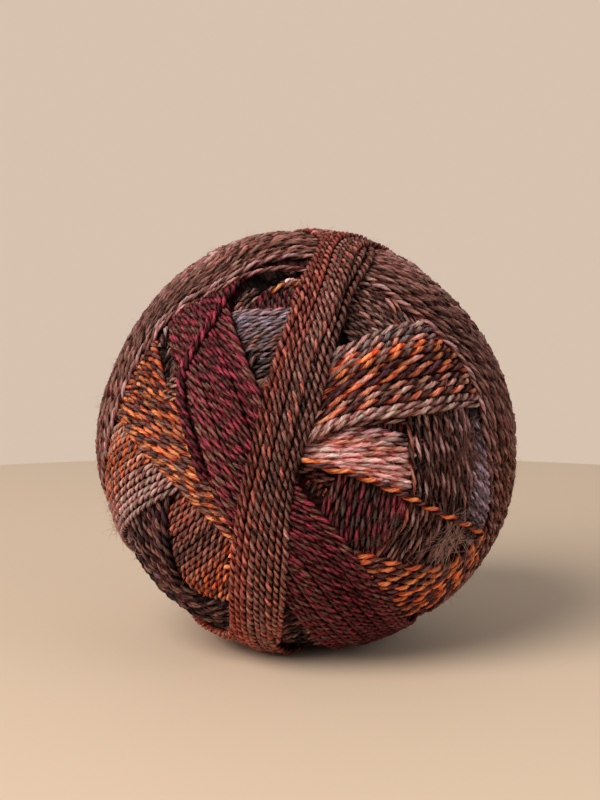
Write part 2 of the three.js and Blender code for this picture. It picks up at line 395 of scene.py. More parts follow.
    "backRust": {
        "piece": "backTurns", "strands": 15, "depth": 1.2, "before": 20, "after": 50,
        "route": [(120, -42, 22), (178, -12, 23), (-130, 32, 22)],
        "shades": [(0, "rust", "brown"), (0.4, "rust", "taupe"), (0.7, "taupe", "cocoa"),
                   (1, "brown", "cocoa")],
    },
    "backGrey": {
        "piece": "backTurns", "strands": 14, "depth": 1.6, "before": 40, "after": 64,
        "route": [(118, 50, 20), (170, 26, 21), (-128, -14, 20)],
        "shades": [(0, "slate", "lilac"), (0.4, "stone", "mauve"), (0.8, "mauve", "rose"),
                   (1, "rose", "peach")],
    },
    "backOrange": {
        "piece": "backTurns", "strands": 15, "depth": 2.0, "before": 50, "after": 60,
        "route": [(98, 14, 23), (140, -16, 23), (-170, -46, 22)],
        "shades": [(0, "orange", "plum"), (0.5, "amber", "cocoa"), (1, "copper", "ink")],
        "fleck": ("amber", 0.2, 10),
    },
    "backWine": {
        "piece": "backTurns", "strands": 18, "depth": 2.4, "before": 60, "after": 60,
        "route": [(-112, 52, 26), (-122, 0, 27), (-142, -48, 26)],
        "shades": [(0, "wine", "brown"), (0.5, "wine", "coal"), (1, "port", "cocoa")],
        "fleck": ("crimson", 0.3, 9),
    },
}

# rings of filling beneath all of them, each a little deeper than the one before
filling = {
    "rings": 16, "strands": 12, "pitch": 1.5, "firstDepth": 2.9, "depthStep": 0.16,
    "shades": [
        [(0, "brown", "cocoa"), (1, "taupe", "coal")],
        [(0, "wine", "cocoa"), (1, "brown", "port")],
        [(0, "coal", "slate"), (1, "ink", "taupe")],
        [(0, "copper", "cocoa"), (1, "brick", "coal")],
    ],
}

# broad swellings and flats: where, how far each spreads, how much it rises
swellings = [(-80, -48, 34, 1.2), (80, -48, 34, 1.3), (76, 42, 30, -1.2), (-88, 26, 24, -1.2),
             (180, 79, 22, 1.2)]

# hollows between the bands, where little light comes: where, how far each spreads, how much
# deeper the yarn lies there, and how much of its colour it keeps under the painted shade
hollows = [
    (-27, 60, 4.2, 1.6, 0.08), (-19, 61.5, 4, 1.8, 0.05), (-12, 63, 3.4, 1.4, 0.08),
    (-5, 64, 3, 1.2, 0.12), (-21, 57.5, 2.6, 1.4, 0.2), (-30, 62.8, 2.2, 0.8, 0.15),
    (-20, 65, 2.2, 1, 0.1), (-10, 66.3, 2.2, 1, 0.1), (-2, 67, 2.2, 1, 0.1),
    (-49.5, 28.5, 2.2, 0.8, 0.15), (-56.5, 33.5, 1.8, 0.8, 0.2), (-52, 29.8, 1.9, 1, 0.12),
    (-47.4, 25.2, 1.8, 1, 0.12), (59, 13, 3, 1, 0.12), (59.5, 8, 2.4, 1, 0.15),
    (27.6, 9.5, 2.2, 0.6, 0.2), (32.5, 1, 1.5, 0.6, 0.15), (32.8, -4, 1.5, 0.6, 0.15),
    (37.6, -2, 1.6, 0.6, 0.2), (12.5, 37, 2, 0.8, 0.3), (13.5, 41.5, 2, 0.8, 0.4),
    (-23.5, 27.5, 2, 0.6, 0.4),
]
hollowFrom = 1.45  # they act on bands that lie deeper than this


def hollowAt(d):
    # how much deeper the yarn lies, and what share of its colour the painted shade leaves
    drop, light = np.zeros(d.shape[:-1]), np.ones(d.shape[:-1])
    for longitude, latitude, spread, depth, left in hollows:
        share = np.exp(-((awayFrom(d, longitude, latitude) / spread) ** 2))
        drop += depth * share
        light *= 1 - (1 - left) * share
    return drop, light


def formRadius(d):
    # how far out the ball's form reaches in a direction
    r = np.full(d.shape[:-1], ballForm["radius"])
    for longitude, latitude, spread, rise in swellings:
        r = r + rise * np.exp(-((awayFrom(d, longitude, latitude) / spread) ** 2))
    return r


def smoothed(values, reach, closed):
    # reach is the spread of the bell curve, in points
    k = int(math.ceil(3 * reach))
    bell = np.exp(-0.5 * (np.arange(-k, k + 1) / reach) ** 2)
    padded = np.pad(values, k, mode="wrap" if closed and len(values) > k else "edge")
    return np.convolve(padded, bell / bell.sum(), "valid")


def waver(count, length, closed=False):
    # smooth randomness of unit spread, length in millimetres, less on a short strand
    reach = min(length / ballForm["settleStep"], count / 7)
    raw = smoothed(dice.standard_normal(count), reach, closed)
    return (raw - raw.mean()) / max(raw.std(), 1e-6)


def cubicThrough(points, extra, closed):
    # a smooth curve through points, sampled closely; extra is carried along with them
    data = np.column_stack([points, extra])
    if closed:
        data = np.vstack([data[-1], data, data[0], data[1]])
    else:
        data = np.vstack([2 * data[0] - data[1], data, 2 * data[-1] - data[-2]])
    gap = np.linalg.norm(np.diff(data[:, :3], axis=0), axis=1)
    slope = np.diff(data, axis=0) / gap[:, None]
    weighed = slope[:-1] * gap[1:, None] + slope[1:] * gap[:-1, None]
    pull = weighed / (gap[:-1] + gap[1:])[:, None]
    t = np.linspace(0, 1, 60, endpoint=False)[:, None]
    rows = []
    for i in range(len(data) - 3):
        g = gap[i + 1]
        rows.append(
            (2 * t**3 - 3 * t**2 + 1) * data[i + 1]
            + (t**3 - 2 * t**2 + t) * g * pull[i]
            + (3 * t**2 - 2 * t**3) * data[i + 2]
            + (t**3 - t**2) * g * pull[i + 1]
        )
    rows.append(data[-2:-1])
    out = np.vstack(rows)
    return unit(out[:, :3]), out[:, 3]


def evenly(points, extra, closed):
    # the same curve with points every settleStep
    gap = np.linalg.norm(np.diff(points, axis=0), axis=1) * ballForm["radius"]
    along = np.concatenate([[0], np.cumsum(gap)])
    count = int(along[-1] / ballForm["settleStep"])
    at = np.linspace(0, along[-1], count, endpoint=not closed)
    line = np.column_stack([np.interp(at, along, points[:, k]) for k in range(3)])
    return unit(line), np.interp(at, along, extra)


def middleLine(band):
    # directions along a band's middle, the band's width there, and whether it closes
    points = np.array([direction(row[0], row[1]) for row in band["route"]])
    widths = np.array([row[2] for row in band["route"]], float)
    if band.get("ring"):
        points, widths = np.vstack([points, -points]), np.tile(widths, 2)
    if band.get("ring") or band.get("loop"):
        return *evenly(*cubicThrough(points, widths, True), True), True
    for end, reach in ((0, band["before"]), (-1, band["after"])):
        inner = points[1] if end == 0 else points[-2]
        tip = points[end]
        ahead = unit(tip - inner - tip * ((tip - inner) @ tip))
        steps = max(1, round(reach / 25))  # a point every 25 degrees or so
        more = [
            math.cos(a) * tip + math.sin(a) * ahead
            for a in np.radians(reach) * np.arange(1, steps + 1) / steps
        ]
        if end == 0:
            points = np.vstack([more[::-1], points])
            widths = np.concatenate([[widths[0]] * steps, widths])
        else:
            points = np.vstack([points, more])
            widths = np.concatenate([widths, [widths[-1]] * steps])
    return *evenly(*cubicThrough(points, widths, False), False), False


def tangents(d, closed):
    # unit vectors along a line
    step = np.roll(d, -1, 0) - np.roll(d, 1, 0) if closed else np.gradient(d, axis=0)
    return unit(step)


def strandsOf(band):
    # each strand of a band: its directions from the ball's middle, and its place across the band
    line, width, closed = middleLine(band)
    left = np.cross(line, tangents(line, closed))
    count = band["strands"]
    out = []
    for k in range(count):
        place = (k + 0.5 + dice.uniform(-yarn["offPlace"], yarn["offPlace"])) / count
        wander = band.get("wander", yarn["wander"])
        stray = wander * waver(len(line), yarn["wanderLength"], closed)
        aside = (band.get("anchor", 0.5) - place) * width + stray
        angle = (aside / ballForm["radius"])[:, None]
        out.append((unit(np.cos(angle) * line + np.sin(angle) * left), place))
    return out, closed


# laying the strands, from the outermost band inwards, each under what is already there
cells = ballForm["gridCells"]
underside = np.full(6 * cells * cells, 1e3)  # lowest yarn so far over each cell
outside = np.zeros(6 * cells * cells)  # highest yarn over each cell
uppermost = np.zeros(6 * cells * cells, int)  # and the strand that it belongs to
laying = {
    "samples": 7,          # places across a strand at which it meets the others
    "roundness": 0.9,      # the share of a strand's rise there that keeps the others off
    "bridge": 3.0,         # how far a strand spans a step below it
    "rounds": 3,           # how often that is repeated
    "give": 0.15,          # how far it presses into what lies over it
    "soften": 1.0,         # how far a last smoothing reaches
    "uneven": (0.1, 6),    # how far it rises and falls, and over what length
    "sink": 0.1,           # how much deeper some strands lie than others
}


def cellOf(d):
    # the number of the cell that a direction falls in
    size = np.abs(d)
    axis = np.argmax(size, axis=-1)
    main = np.take_along_axis(d, axis[..., None], -1)[..., 0]
    face = axis * 2 + (main < 0)
    u, v = (
        np.take_along_axis(d, ((axis + k) % 3)[..., None], -1)[..., 0] / np.abs(main)
        for k in (1, 2)
    )
    i, j = (
        np.clip(((np.arctan(w) * 4 / math.pi + 1) / 2 * cells).astype(int), 0, cells - 1)
        for w in (u, v)
    )
    return (face * cells + i) * cells + j


def acrossStrand(d, left, halfWidth, share=1.0):
    # the cells at several places across a strand, and how far it rises at each
    for x in np.linspace(-halfWidth, halfWidth, laying["samples"]) * share:
        rise = math.sqrt(max(halfWidth**2 - x**2, 0))
        yield cellOf(unit(d + left * (x / ballForm["radius"]))), rise


def aboveFloor(d, r, clearance):
    # r, or less where it would reach below the floor
    limit = (ballForm["radius"] - ballForm["foot"] - clearance) / np.maximum(-d[:, 2], 1e-3)
    return np.where(d[:, 2] < 0, np.minimum(r, limit), r)


def settle(d, closed, depth, girth):
    # how far out a strand's middle lies along its way, the direction to its left, its half width
    step = ballForm["settleStep"]
    halfWidth = yarn["laidWidth"] * girth
    left = np.cross(d, tangents(d, closed))
    room = formRadius(d) - halfWidth - depth
    if depth > hollowFrom:
        room = room - hollowAt(d)[0]
    for c, rise in acrossStrand(d, left, halfWidth, yarn["squash"]):
        room = np.minimum(room, underside[c] - rise * laying["roundness"])
    r = room
    for _ in range(laying["rounds"]):
        r = np.minimum(smoothed(r, laying["bridge"] / step, closed), room + laying["give"])
    r = smoothed(r, laying["soften"] / step, closed)
    height, length = laying["uneven"]
    r = r + height * waver(len(r), length, closed) - abs(dice.normal(0, laying["sink"]))
    return aboveFloor(d, r, halfWidth), left, halfWidth


laid = []


def layBand(band):
    # its strands settle side by side, and only then cover what is laid next
    strands, closed = strandsOf(band)
    girth = band.get("girth", 1.0)
    sunk, share = band.get("edgeDepth", (0, 1))
    done = []
    for d, place in strands:
        toEdge = min(max((place - 1 + share) / share, 0), 1)
        depth = band["depth"] + sunk * toEdge * toEdge
        done.append((d, place, *settle(d, closed, depth, girth)))
    for d, place, r, left, halfWidth in done:
        for c, rise in acrossStrand(d, left, halfWidth):
            np.minimum.at(underside, c, r - rise * laying["roundness"])
            higher = r + rise > outside[c]
            uppermost[c[higher]] = len(laid)
            np.maximum.at(outside, c, r + rise)
        laid.append({
            "d": d, "r": r, "left": left, "place": place, "closed": closed, "girth": girth,
            "shades": band["shades"], "fleck": band.get("fleck"), "piece": band["piece"],
            "turn": band.get("turn", yarn["turn"] * girth), "tones": band.get("tones", 1.0),
            "fuzz": band.get("fuzz", 1.0),
            "hollow": band["depth"] > hollowFrom and not band.get("lit"),
        })


for band in bands.values():
    layBand(band)
for k in range(filling["rings"]):
    start = unit(dice.standard_normal(3))
    side = unit(np.cross(start, dice.standard_normal(3)))
    points = [math.cos(a) * start + math.sin(a) * side for a in np.radians([0, 60, 120])]
    width = filling["strands"] * filling["pitch"]
    layBand({
        "piece": "fillTurns", "strands": filling["strands"], "ring": True,
        "route": [(math.degrees(math.atan2(p[0], -p[1])), math.degrees(math.asin(p[2])), width)
                  for p in points],
        "depth": filling["firstDepth"] + k * filling["depthStep"],
        "shades": filling["shades"][k % len(filling["shades"])],
    })
print(f"{len(laid)} strands laid")

# what shows of each strand, in millimetres
showing = {
    "around": 1.3,    # how far round a point its cover may have a gap
    "sunk": 0.2,      # how far below its cover a point still shows
    "tail": 1.5,      # how far a stretch goes on where it doesn't show
    "shortest": 12,   # a stretch of no more points than this is left out
    "step": 2,        # a ring of the mesh at every so many points
    "stepOf": {"backTurns": 3, "fillTurns": 3},  # the same, where it differs
    "fuzzDepth": 0.3,  # fuzz grows on strands no deeper than this below the outermost
}


def withoutPinholes(grid):
    # the highest of each cell and its neighbours
    faces = grid.reshape(6, cells, cells)
    padded = np.pad(faces, ((0, 0), (1, 1), (1, 1)), mode="edge")
    near = [padded[:, i: i + cells, j: j + cells] for i in range(3) for j in range(3)]
    return np.max(near, axis=0).ravel()


skin = withoutPinholes(outside)
coreRadius = ballForm["radius"] - ballForm["coreDepth"]


def visible(strand):
    # which points of a strand show, and a few more at the ends of each stretch
    d, closed = strand["d"], strand["closed"]
    ahead = tangents(d, closed)
    cover = np.maximum(skin[cellOf(d)], coreRadius)
    for a in np.arange(8) * math.pi / 4:
        off = strand["left"] * math.cos(a) + ahead * math.sin(a)
        near = unit(d + off * (showing["around"] / ballForm["radius"]))
        cover = np.minimum(cover, np.maximum(skin[cellOf(near)], coreRadius))
    own = strand["r"] + yarn["halfWidth"] * strand["girth"]
    shows = np.tile(own > cover - showing["sunk"], 3 if closed else 1)
    reach = int(showing["tail"] / ballForm["settleStep"])
    wide = np.convolve(shows.astype(float), np.ones(2 * reach + 1), "same") > 0
    return wide[len(d): 2 * len(d)] if closed else wide


def runs(wide, closed):
    # stretches of a strand that show, as lists of point numbers
    n = len(wide)
    if wide.all():
        return [(np.arange(n), closed)]
    start = int(np.argmin(wide)) if closed else 0
    order = (np.arange(n) + start) % n
    edges = np.flatnonzero(np.diff(np.concatenate([[0], wide[order].astype(int), [0]])))
    return [(order[a:b], False) for a, b in zip(edges[::2], edges[1::2])
            if b - a > showing["shortest"]]


# strand meshes
def section():
    # two plies pressed together: a groove, three points round one ply, and the same again
    wide, high = yarn["halfWidth"], yarn["plyHeight"]
    shoulder = yarn["plyShoulder"] * wide
    half = [(0, yarn["groove"]), (shoulder, high), (wide, 0), (shoulder, -high)]
    return np.array(half + [(-x, -y) for x, y in half])


def shadeAt(shades, place):
    # the colours of both plies at a place across the band
    at = np.array([row[0] for row in shades])
    plies = []
    for k in (1, 2):
        colours = np.array([linear(row[k]) for row in shades])
        plies.append(np.column_stack([np.interp(place, at, colours[:, c]) for c in range(3)]))
    return plies


class Piece:
    # vertices, faces and colours of many strands, gathered into one mesh
    def __init__(self, name):
        self.name = name
        self.points, self.sheets, self.count = [], [], 0

    def add(self, points, *sheets):
        # each sheet: faces of one number of corners, then the colour and uv of every corner
        for faces, colours, uvs in sheets:
            self.sheets.append((faces + self.count, colours, uvs))
        self.points.append(points)
        self.count += len(points)

    def triangles(self):
        # as many as its faces make
        return sum(len(faces) * (faces.shape[1] - 2) for faces, _, _ in self.sheets)

    def build(self, material):
        points = toMetres(np.vstack(self.points))
        mesh = bpy.data.meshes.new(self.name)
        mesh.vertices.add(len(points))
        mesh.vertices.foreach_set("co", points.astype(np.float32).ravel())
        corners = np.concatenate([faces.ravel() for faces, _, _ in self.sheets])
        mesh.loops.add(len(corners))
        mesh.loops.foreach_set("vertex_index", corners.astype(np.int32))
        totals = np.concatenate([
            np.full(len(faces), faces.shape[1]) for faces, _, _ in self.sheets])
        starts = np.concatenate([[0], np.cumsum(totals)[:-1]])
        mesh.polygons.add(len(starts))
        mesh.polygons.foreach_set("loop_start", starts.astype(np.int32))
        mesh.polygons.foreach_set("loop_total", totals.astype(np.int32))
        mesh.polygons.foreach_set("use_smooth", np.ones(len(starts), bool))
        mesh.update(calc_edges=True)
        colours = np.vstack([colours for _, colours, _ in self.sheets])
        colours = np.column_stack([colours, np.ones(len(colours))])
        layer = mesh.color_attributes.new("dyeAndShade", "FLOAT_COLOR", "CORNER")
        layer.data.foreach_set("color", colours.astype(np.float32).ravel())
        uvs = np.vstack([uvs for _, _, uvs in self.sheets])
        layer = mesh.uv_layers.new(name="alongStrand")
        layer.data.foreach_set("uv", uvs.astype(np.float32).ravel())
        mesh.materials.append(material)
        return addToScene(self.name, mesh)


# how a strand's colours lie on its plies, and the shade painted on them
dyeingAndShading = {
    "low": (1.1, 1.75),       # strength and depth of the painted shade, the colour low on a strand
    "rise": (1.35, 0.1),      # how fast the painted shade gives way to the full colour upwards, and where that begins
    "groove": 0.12,           # the share of the full colour that the painted shade leaves in the groove between the plies
    "cut": 0.02,              # how light a strand's end is: painted shade where it goes on under other yarn
    "drift": (0.05, 18),      # how far its place across the band strays, and over what length
    "apart": 0.12,            # how much strands differ in strength
    "uneven": (0.14, 7),      # how much a ply's strength varies, and over what length
    "limits": (0.04, 1.6),    # the least and most strength
    "fleckLevel": ((0, 0.16, 0.5, 1), (3, 1, 0, -3)),  # share of flecks, and the waver above it
    "fleckEdge": 1.2,
    "fleckStrength": 0.8,
    "noiseStep": 0.01,        # along the fibres' noise for each millimetre of strand
    "noiseRoom": (900, 90),   # how far along and across it a strand may begin
}


def twistStrand(piece, centre, up, colours, girth, turn, closed):
    # one stretch of strand: centre line in millimetres, outward directions, colours of both plies
    n, sides = len(centre), yarn["sides"]
    ahead = tangents(centre, closed)
    up = unit(up - ahead * (up * ahead).sum(1, keepdims=True))
    side = np.cross(ahead, up)
    gap = np.linalg.norm(np.diff(centre, axis=0), axis=1)
    along = np.concatenate([[0], np.cumsum(gap)])
    turn = turn * dice.uniform(1 - yarn["turnSpread"], 1 + yarn["turnSpread"])
    if closed:
        whole = along[-1] + np.linalg.norm(centre[0] - centre[-1])
        turn = whole / round(whole / turn)
    phase = dice.uniform(0, 2 * math.pi) + 2 * math.pi * along / turn
    drift, length, shortest = yarn["drift"]
    if n > shortest:
        phase = phase + drift * waver(n, length, closed)
    swell, length, shortest = yarn["swell"]
    swell = 1 + swell * waver(n, length, closed)[:, None, None] if n > shortest else 1.0
    lumps = 1 + yarn["lumps"] * dice.standard_normal((n, sides, 1))
    shape = section()[None] * girth * swell * lumps
    c, s = np.cos(phase)[:, None], np.sin(phase)[:, None]
    x = shape[..., 0] * c - shape[..., 1] * s
    y = shape[..., 0] * s + shape[..., 1] * c
    points = centre[:, None] + side[:, None] * x[..., None] + up[:, None] * y[..., None]
    ring, spoke = np.meshgrid(np.arange(n if closed else n - 1), np.arange(sides), indexing="ij")
    nextRing, nextSpoke = (ring + 1) % n, (spoke + 1) % sides
    corners = ((ring, nextSpoke), (nextRing, nextSpoke), (nextRing, spoke), (ring, spoke))
    faces = np.stack([r * sides + k for r, k in corners], axis=-1).reshape(-1, 4)
    # painted shade: the colour darkens in the grooves and towards the strand's underside,
    # and comes to its full colour on top, where the light falls
    slope, begin = dyeingAndShading["rise"]
    paintedLight = np.clip(slope * y / (yarn["halfWidth"] * girth) - begin, 0, 1)
    paintedLight = paintedLight * (2 - paintedLight)
    inGroove = np.arange(sides) % (sides // 2) == 0
    paintedLight = (paintedLight * np.where(inGroove, dyeingAndShading["groove"], 1))[..., None]
    # painted shade: the low colour is a darker, deeper one of the same wool
    strength, depth = dyeingAndShading["low"]
    low = [strength * np.maximum(c, 0) ** depth for c in colours]
    first, second = (
        [dark[r] + paintedLight[r, k] * (full[r] - dark[r]) for r, k in corners]
        for dark, full in zip(low, colours)
    )
    onFirst = spoke[..., None] < sides // 2
    dyedAndShaded = np.stack([np.where(onFirst, a, b) for a, b in zip(first, second)], axis=2)
    # u runs along the strand and v round it, from a place of its own in the fibres' noise
    reach = np.append(along, along[-1] + gap[-1]) + dice.uniform(0, dyeingAndShading["noiseRoom"][0])
    row = dice.integers(0, dyeingAndShading["noiseRoom"][1])
    u = np.stack([reach[ring], reach[ring + 1], reach[ring + 1], reach[ring]], axis=-1)
    v = row + np.stack([spoke + 1, spoke + 1, spoke, spoke], axis=-1) / sides
    uvs = np.stack([u * dyeingAndShading["noiseStep"], v], -1).reshape(-1, 2)
    sheets = [(faces, dyedAndShaded.reshape(-1, 3), uvs)]
    if not closed:
        # painted shade: the cut ends are nearly black, where the strand goes on under other yarn
        caps = np.array([np.arange(sides)[::-1], (n - 1) * sides + np.arange(sides)])
        sheets.append((caps, np.full((caps.size, 3), dyeingAndShading["cut"]), np.zeros((caps.size, 2))))
    piece.add(points.reshape(-1, 3), *sheets)


def dyeAndShade(strand, count):
    # the two plies' colours along a strand, drifting slowly and with brighter bits,
    # with the band's tones and the painted shade of the hollows on them
    closed = strand["closed"]
    drift, length = dyeingAndShading["drift"]
    place = np.clip(strand["place"] + drift * waver(count, length, closed), 0, 1)
    plies = shadeAt(strand["shades"], place)
    # tones: partly the yarn's own colour, partly painted light and shade for how light falls on
    # the ball
    tones = strand["tones"]
    if isinstance(tones, list):
        latitude = np.degrees(np.arcsin(strand["d"][:, 2]))
        tones = np.interp(latitude, *np.transpose(tones))
    strength = (1 + dice.normal(0, dyeingAndShading["apart"])) * tones
    # painted shade: a strand in a hollow keeps only part of its colour
    if strand["hollow"]:
        strength = strength * hollowAt(strand["d"])[1]
    uneven, length = dyeingAndShading["uneven"]
    for k, ply in enumerate(plies):
        light = strength * (1 + uneven * waver(count, length, closed))
        ply *= np.clip(light, *dyeingAndShading["limits"])[:, None]
        if strand["fleck"]:
            colour, share, reach = strand["fleck"]
            level = np.interp(share * (1 - 0.5 * k), *dyeingAndShading["fleckLevel"])  # half on the second
            chosen = (waver(count, reach / 2, closed) > level).astype(float)
            mix = smoothed(chosen, dyeingAndShading["fleckEdge"] / ballForm["settleStep"], closed)
            ply += (linear(colour) - ply) * (mix[:, None] * dyeingAndShading["fleckStrength"])
    return plies


# the wool's surface: fibre streaks go from a low colour, painted shade between the fibres,
# to a high one, a painted highlight on top; painted crest light follows each ply's rounding
fibresAndPaintedLight = {
    "roughness": 0.62,
    "specular": 0.05,
    "fibreScale": (30, 8, 1),    # of the fibres' noise, along and round a strand
    "fibreRange": (0.36, 0.64),  # the values of the noise between which the colour changes
    "fibres": 1.15,              # how much of the change follows the fibres
    "paintedCrest": 0.45,               # how much of it follows the rounding of each ply: painted light on the crest, painted shade at the groove
    "crestRange": (0.06, 0.42),
    "base": -0.36,
    "lowDepth": 1.85,            # how deep the low colour, the painted shade, is
    "high": (1.52, 1.64, 1.72),  # what the high colour, the painted highlight, is multiplied by
    "heather": ((1.16, 0.9, 0.96), (0.92, 1.04, 1.02)),  # the hues mixed into the fibres
    "heatherScale": (34, 4, 1),
    "heatherRange": (0.4, 0.6),
    "bump": 0.7,
    "bumpDepth": 0.0003,         # in metres
}


def woolMaterial(name):
    material, shader = newMaterial(name, fibresAndPaintedLight["roughness"], fibresAndPaintedLight["specular"])
    nodes, links = material.node_tree.nodes, material.node_tree.links

    def noise(scale, detail):
        stretch = nodes.new("ShaderNodeMapping")
        stretch.inputs["Scale"].default_value = scale
        made = nodes.new("ShaderNodeTexNoise")
        made.inputs["Scale"].default_value = 1
        made.inputs["Detail"].default_value = detail
        made.inputs["Roughness"].default_value = 0.65
        links.new(place.outputs["UV"], stretch.inputs["Vector"])
        links.new(stretch.outputs["Vector"], made.inputs["Vector"])
        return made.outputs["Fac"]

    def ranged(value, low, high, toLow=0.0, toHigh=1.0):
        made = nodes.new("ShaderNodeMapRange")
        for key, number in (("From Min", low), ("From Max", high),
                            ("To Min", toLow), ("To Max", toHigh)):
            made.inputs[key].default_value = number
        links.new(value, made.inputs["Value"])
        return made.outputs["Result"]

    def mixed(kind, share, first, second):
        made = nodes.new("ShaderNodeMix")
        made.data_type = "RGBA"
        made.blend_type = kind
        for key, value in (("Factor", share), ("A", first), ("B", second)):
            if isinstance(value, (int, float, tuple)):
                made.inputs[key].default_value = value
            else:
                links.new(value, made.inputs[key])
        return made.outputs["Result"]

    def maths(kind, first, second):
        made = nodes.new("ShaderNodeMath")
        made.operation = kind
        for socket, value in zip(made.inputs, (first, second)):
            if isinstance(value, (int, float)):
                socket.default_value = value
            else:
                links.new(value, socket)
        return made.outputs["Value"]

    dyedAndShaded = nodes.new("ShaderNodeVertexColor")
    dyedAndShaded.layer_name = "dyeAndShade"
    place = nodes.new("ShaderNodeUVMap")
    place.uv_map = "alongStrand"
    apart = nodes.new("ShaderNodeSeparateXYZ")
    links.new(place.outputs["UV"], apart.inputs["Vector"])
    fibres = noise(fibresAndPaintedLight["fibreScale"], 2)
    # painted light on each ply: lightest along its crest, darkest at the groove
    roundPly = maths("PINGPONG", maths("MULTIPLY", apart.outputs["Y"], 2.0), 0.5)
    paintedCrest = ranged(roundPly, *fibresAndPaintedLight["crestRange"])
    share = maths(
        "ADD",
        ranged(fibres, *fibresAndPaintedLight["fibreRange"],
               fibresAndPaintedLight["base"], fibresAndPaintedLight["fibres"] + fibresAndPaintedLight["base"]),
        maths("MULTIPLY", paintedCrest, fibresAndPaintedLight["paintedCrest"]),
    )
    hue = ranged(noise(fibresAndPaintedLight["heatherScale"], 1), *fibresAndPaintedLight["heatherRange"])
    heather = mixed("MIX", hue, *((*colour, 1) for colour in fibresAndPaintedLight["heather"]))
    dappled = mixed("MULTIPLY", 1.0, dyedAndShaded.outputs["Color"], heather)
    # painted shade: a darker, deeper colour low between the fibres
    low = nodes.new("ShaderNodeGamma")
    low.inputs["Gamma"].default_value = fibresAndPaintedLight["lowDepth"]
    links.new(dappled, low.inputs["Color"])
    # painted highlight: a lighter, paler colour on top of them
    high = mixed("MULTIPLY", 1.0, dappled, (*fibresAndPaintedLight["high"], 1))
    colour = mixed("MIX", ranged(share, 0, 1), low.outputs["Color"], high)
    links.new(colour, shader.inputs["Base Color"])
    bump = nodes.new("ShaderNodeBump")
    bump.inputs["Strength"].default_value = fibresAndPaintedLight["bump"]
    bump.inputs["Distance"].default_value = fibresAndPaintedLight["bumpDepth"]
    links.new(fibres, bump.inputs["Height"])
    links.new(bump.outputs["Normal"], shader.inputs["Normal"])
    return material


woolWithPaintedLight = woolMaterial("woolWithPaintedLight")
pieces = {}
shown = []  # for the fuzz: points of strands that show, their directions, colours and hairiness
for strand in laid:
    plies = dyeAndShade(strand, len(strand["d"]))
    step = showing["stepOf"].get(strand["piece"], showing["step"])
    for order, whole in runs(visible(strand), strand["closed"]):
        order = order[::step]
        piece = pieces.setdefault(strand["piece"], Piece(strand["piece"]))
        d, r, left = (strand[key][order] for key in ("d", "r", "left"))
        first, second = (ply[order] for ply in plies)
        twistStrand(piece, d * r[:, None], d, (first, second), strand["girth"],
                    strand["turn"], whole)
        top = r + yarn["laidWidth"] * strand["girth"]
        atTop = top > outside[cellOf(d)] - showing["fuzzDepth"]
        weight = np.full(len(d), strand["fuzz"])
        shown.append([v[atTop] for v in (d, r, left, first, second, weight)])
print("strands twisted")

# the turns beneath, as one surface that closes the ball under the strands that show;
# its colour is painted shade, a darker and deeper one of the strands over it
beneath = {
    "cells": 72,           # along an edge of the cube that it grows from
    "depth": 1.15,         # below the strands over it
    "hollowShare": 0.5,    # how far it follows the hollows
    "widestGap": 0.9,      # between strands, that it still bridges
    "shoulder": 1.5,       # how far it keeps back from the edge of a higher band
    "clearance": 1.2,      # over the floor
    "shade": (0.36, 1.6),  # strength and depth of its painted shade, from the colour of the strands over it
    "noiseStep": (0.01, 0.12),  # along the fibres' noise for each degree, east and north
}


def spread(grid, reach, pick):
    # the highest (or lowest) over a square of cells around each cell
    faces = grid.reshape(6, cells, cells)
    for axis in (1, 2):
        pad = [(0, 0), (0, 0), (0, 0)]
        pad[axis] = (reach, reach)
        padded = np.pad(faces, pad, mode="edge")
        parts = [np.take(padded, np.arange(k, k + cells), axis=axis) for k in range(2 * reach + 1)]
        faces = pick(parts, axis=0)
    return faces.ravel()


def makeBeneath():
    cellSize = ballForm["radius"] * math.pi / 2 / cells
    closed = spread(skin, round(beneath["widestGap"] / cellSize), np.max)
    closed = spread(closed, round(beneath["shoulder"] / cellSize), np.min)
    n = beneath["cells"]
    keys, points = {}, []
    steps = np.tan((np.arange(n + 1) / n * 2 - 1) * math.pi / 4)
    corner = np.zeros((6, n + 1, n + 1), int)
    for face in range(6):
        axis, sign = face // 2, 1 - 2 * (face % 2)
        for i, u in enumerate(steps):
            for j, v in enumerate(steps):
                p = np.zeros(3)
                p[axis], p[(axis + 1) % 3], p[(axis + 2) % 3] = sign, u, v
                p /= np.linalg.norm(p)
                key = tuple(np.round(p, 6) + 0.0)
                if key not in keys:
                    keys[key] = len(points)
                    points.append(p)
                corner[face, i, j] = keys[key]
    d = np.array(points)
    at = cellOf(d)
    drop, light = hollowAt(d)
    r = np.maximum(closed[at] - beneath["depth"] - beneath["hollowShare"] * drop, coreRadius)
    r = aboveFloor(d, r, beneath["clearance"])
    quads = []
    for face in range(6):
        a, b = corner[face, :-1, :-1], corner[face, 1:, :-1]
        c, e = corner[face, 1:, 1:], corner[face, :-1, 1:]
        quad = np.stack([a, b, c, e] if face % 2 == 0 else [a, e, c, b], axis=-1)
        quads.append(quad.reshape(-1, 4))
    quads = np.vstack(quads)
    overIt = np.array([
        np.mean([ply[0] for ply in shadeAt(strand["shades"], [strand["place"]])], axis=0)
        for strand in laid
    ])[uppermost[at]]
    # painted shade: darker and deeper than the strands over it, and darker still in the hollows
    strength, depth = beneath["shade"]
    own = strength * overIt ** depth * light[:, None]
    east = np.degrees(np.arctan2(d[:, 0], -d[:, 1])) * beneath["noiseStep"][0]
    north = np.degrees(np.arcsin(d[:, 2])) * beneath["noiseStep"][1]
    piece = Piece("beneath")
    piece.add(d * r[:, None], (quads, own[quads].reshape(-1, 3),
                               np.stack([east[quads], north[quads]], -1).reshape(-1, 2)))
    pieces["beneath"] = piece


makeBeneath()
print("closed beneath the strands")

